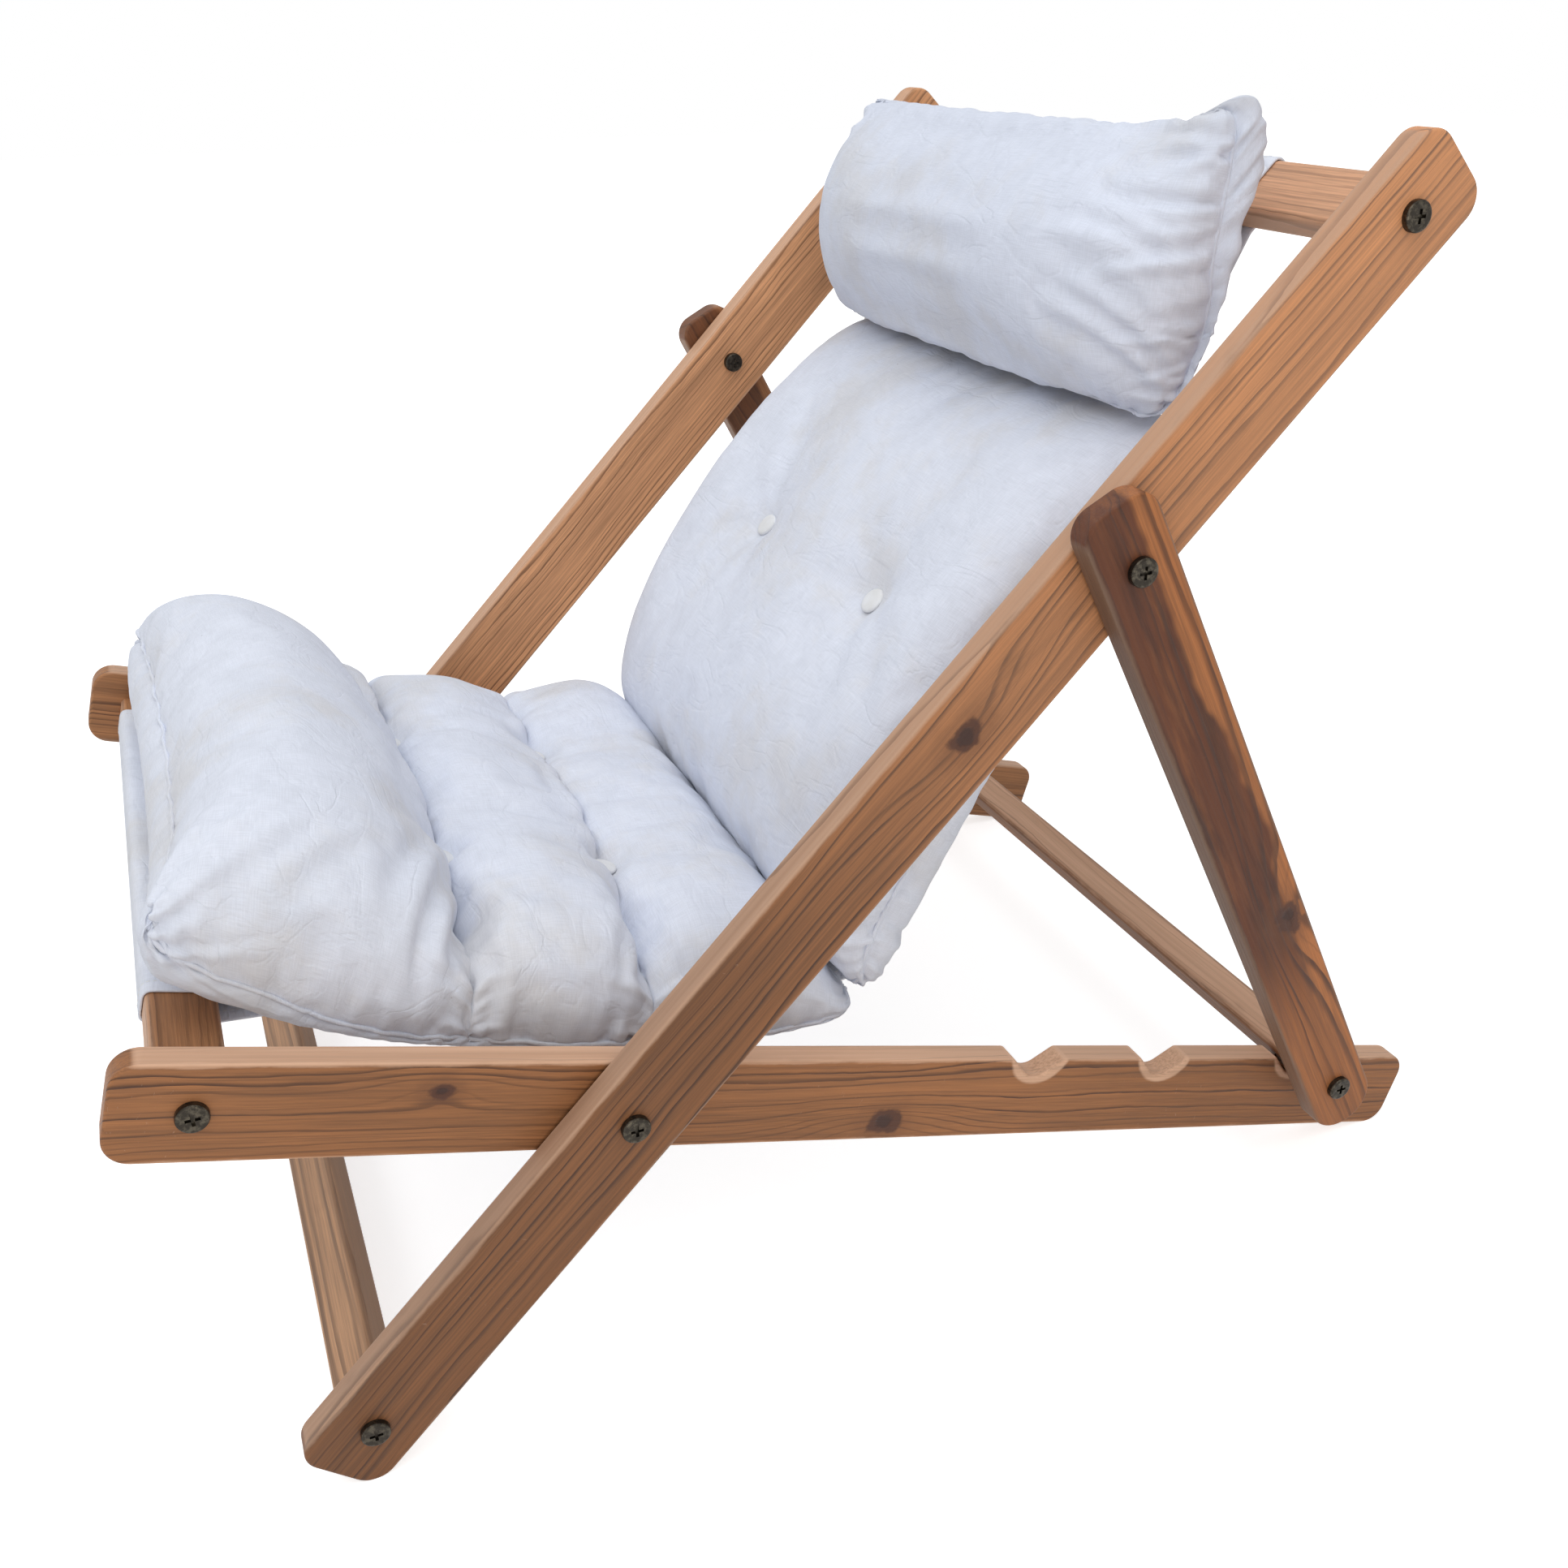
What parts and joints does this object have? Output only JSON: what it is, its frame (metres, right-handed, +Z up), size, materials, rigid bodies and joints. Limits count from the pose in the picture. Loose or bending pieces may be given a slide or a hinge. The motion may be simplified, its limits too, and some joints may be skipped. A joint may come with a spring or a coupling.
{
  "type": "adjustable lounge chair",
  "caption": "Folding wooden lounge chair: crossed seat and back frames, a prop bar resting in rail notches, a canvas sling, tufted cushions and a head pillow.",
  "frame": {"origin": "on the floor, in the middle of the footprint box", "axes": "+X to the sitter's left, -Y the way the sitter faces, +Z up"},
  "size_m": [0.7546, 1.0292, 0.8303],
  "materials": {
    "frame_pine": "oiled",
    "prop_pine": "oiled",
    "dark_bolt": "dark bronze",
    "bare_steel": "plain zinc",
    "cushion_cover": "matte canvas",
    "button_cover": "matte canvas",
    "sling_canvas": "matte canvas"
  },
  "bodies": {
    "seat_frame": {"left_seat_rail": "frame_pine", "right_seat_rail": "frame_pine", "front_rail": "frame_pine", "front_rail_bolts": "dark_bolt", "front_rail_barrel_nuts": "bare_steel", "seat_pivot_bolts": "dark_bolt", "seat_pivot_washers": "bare_steel", "seat_pivot_nuts": "dark_bolt", "seat_cushion": "cushion_cover", "seat_buttons": "button_cover"},
    "back_frame": {"left_back_post": "frame_pine", "right_back_post": "frame_pine", "top_rail": "frame_pine", "top_rail_bolts": "dark_bolt", "top_rail_barrel_nuts": "bare_steel", "bottom_rail": "frame_pine", "bottom_rail_bolts": "dark_bolt", "bottom_rail_barrel_nuts": "bare_steel", "prop_pivot_bolts": "dark_bolt", "prop_pivot_washers": "bare_steel", "prop_pivot_nuts": "dark_bolt", "canvas_sling": "sling_canvas", "back_cushion": "cushion_cover", "back_buttons": "button_cover", "head_pillow": "cushion_cover"},
    "prop_frame": {"left_prop": "prop_pine", "right_prop": "prop_pine", "prop_bar": "prop_pine", "prop_bar_bolts": "dark_bolt", "prop_bar_barrel_nuts": "bare_steel"}
  },
  "joints": [
    {"name": "back_hinge", "type": "hinge", "parent": "seat_frame", "child": "back_frame", "pos_m": [0, -0.20158, 0.2413], "axis": [1, 0, 0], "range_deg": [0, 106], "deforming": ["canvas_sling", "seat_cushion", "back_cushion"]},
    {"name": "prop_hinge", "type": "hinge", "parent": "back_frame", "child": "prop_frame", "pos_m": [0, 0.13954, 0.58466], "axis": [1, 0, 0], "range_deg": [0, 98]}
  ]
}
